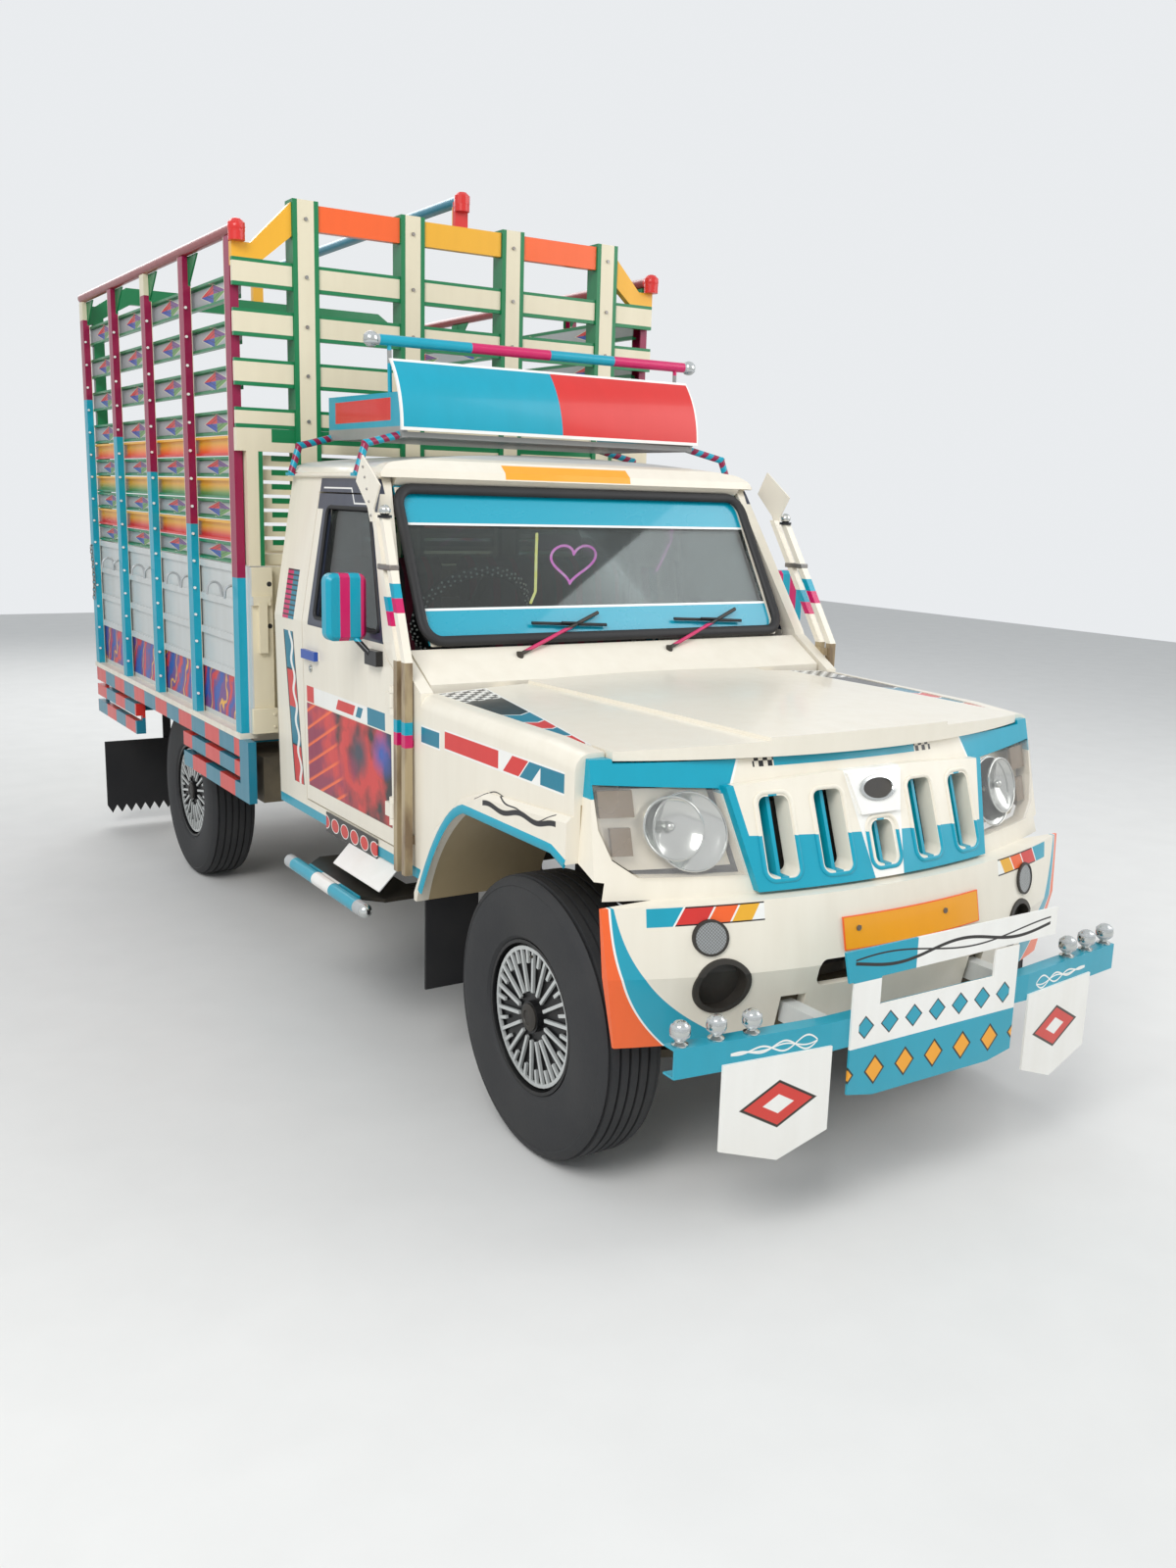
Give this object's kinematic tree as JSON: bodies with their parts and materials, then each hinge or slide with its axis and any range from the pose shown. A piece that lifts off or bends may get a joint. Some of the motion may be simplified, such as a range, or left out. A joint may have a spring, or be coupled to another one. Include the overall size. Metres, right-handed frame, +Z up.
{
  "type": "goods pickup truck",
  "caption": "Single-cab goods pickup truck with a tall slatted cargo cage, roof sign rack, front guard bar and painted stripes; wheels, steering, doors, bonnet and tailgate move.",
  "frame": {"origin": "on the ground, midway along and across the vehicle", "axes": "+Z up, the front looks along -Y, the vehicle's left side is +X"},
  "size_m": [1.844, 4.86, 2.7781],
  "materials": {
    "cream_paint": "glossy cream body paint",
    "cage_cream_paint": "cream brushed enamel",
    "teal_paint": "teal enamel",
    "silver_paint": "silver enamel",
    "red_paint": "red enamel",
    "rack_paint": "painted steel",
    "chassis_black": "matte black",
    "cast_iron": "rough",
    "black_plastic": "moulded",
    "grey_plastic": "moulded",
    "wheel_cover": "silver and black",
    "tyre": "black",
    "rubber": "black",
    "seat_fabric": "woven",
    "glass": "clear",
    "lamp_glass": "clear lens",
    "tail_lamp_red": "red lens"
  },
  "bodies": {
    "truck": {"chassis_frame": "chassis_black", "engine_block": "cast_iron", "front_axle": "chassis_black", "rear_axle": "chassis_black", "leaf_springs": "chassis_black", "cab_floor": "cream_paint", "cab_shell": "cream_paint", "cab_roof": "cream_paint", "cab_glass": "glass", "dashboard": "grey_plastic", "steering_wheel": "black_plastic", "seats": "seat_fabric", "nose_panel": "cream_paint", "grille": "cream_paint", "headlamps": "lamp_glass", "bumper": "cream_paint", "fog_lamp_rings": "black_plastic", "fenders": "cream_paint", "wipers": "black_plastic", "guard_bar": "teal_paint", "guard_plates": "cage_cream_paint", "side_steps": "teal_paint", "pillar_pipes": "cage_cream_paint", "sign_rack": "rack_paint", "sign_board": "teal_paint", "bed_floor": "silver_paint", "bed_walls": "cage_cream_paint", "cage_posts": "teal_paint", "cage_slats": "silver_paint", "cage_ends": "cage_cream_paint", "cage_pipes": "red_paint", "lower_rails": "teal_paint", "tail_lamps": "tail_lamp_red", "mudflaps": "rubber", "underbody_boxes": "chassis_black"},
    "front_left_roadwheel": {"tyre_front_left": "tyre", "wheel_front_left": "wheel_cover"},
    "front_right_roadwheel": {"tyre_front_right": "tyre", "wheel_front_right": "wheel_cover"},
    "rear_left_roadwheel": {"tyre_rear_left": "tyre", "wheel_rear_left": "wheel_cover"},
    "rear_right_roadwheel": {"tyre_rear_right": "tyre", "wheel_rear_right": "wheel_cover"},
    "left_door": {"door_left": "cream_paint", "door_glass_left": "glass", "mirror_left": "black_plastic"},
    "left_steering": {"knuckle_left": "cast_iron"},
    "right_door": {"door_right": "cream_paint", "door_glass_right": "glass", "mirror_right": "black_plastic"},
    "right_steering": {"knuckle_right": "cast_iron"},
    "bonnet_lid": {"bonnet": "cream_paint"},
    "drop_gate": {"tailgate": "cage_cream_paint"}
  },
  "joints": [
    {"name": "steer_left", "type": "hinge", "parent": "truck", "child": "left_steering", "pos_m": [0.585, -1.722, 0.375], "axis": [0, 0, 1], "range_deg": [-30, 30]},
    {"name": "steer_right", "type": "hinge", "parent": "truck", "child": "right_steering", "pos_m": [-0.585, -1.722, 0.375], "axis": [0, 0, 1], "range_deg": [-30, 30]},
    {"name": "spin_front_left", "type": "hinge", "parent": "left_steering", "child": "front_left_roadwheel", "pos_m": [0.6595, -1.722, 0.375], "axis": [1, 0, 0], "continuous": true},
    {"name": "spin_front_right", "type": "hinge", "parent": "right_steering", "child": "front_right_roadwheel", "pos_m": [-0.6595, -1.722, 0.375], "axis": [1, 0, 0], "continuous": true},
    {"name": "spin_rear_left", "type": "hinge", "parent": "truck", "child": "rear_left_roadwheel", "pos_m": [0.6595, 1.278, 0.375], "axis": [1, 0, 0], "continuous": true},
    {"name": "spin_rear_right", "type": "hinge", "parent": "truck", "child": "rear_right_roadwheel", "pos_m": [-0.6595, 1.278, 0.375], "axis": [1, 0, 0], "continuous": true},
    {"name": "left_door_hinge", "type": "hinge", "parent": "truck", "child": "left_door", "pos_m": [0.798, -1.007, 0.945], "axis": [0, 0, -1], "range_deg": [0, 65]},
    {"name": "right_door_hinge", "type": "hinge", "parent": "truck", "child": "right_door", "pos_m": [-0.798, -1.007, 0.945], "axis": [0, 0, 1], "range_deg": [0, 65]},
    {"name": "bonnet_hinge", "type": "hinge", "parent": "truck", "child": "bonnet_lid", "pos_m": [0, -1.136, 1.138], "axis": [-1, 0, 0], "range_deg": [0, 50]},
    {"name": "tailgate_hinge", "type": "hinge", "parent": "truck", "child": "drop_gate", "pos_m": [0, 2.404, 0.85], "axis": [-1, 0, 0], "range_deg": [0, 90]}
  ],
  "couplings": [
    {"joint": "steer_right", "follows": "steer_left", "ratio": 1}
  ]
}
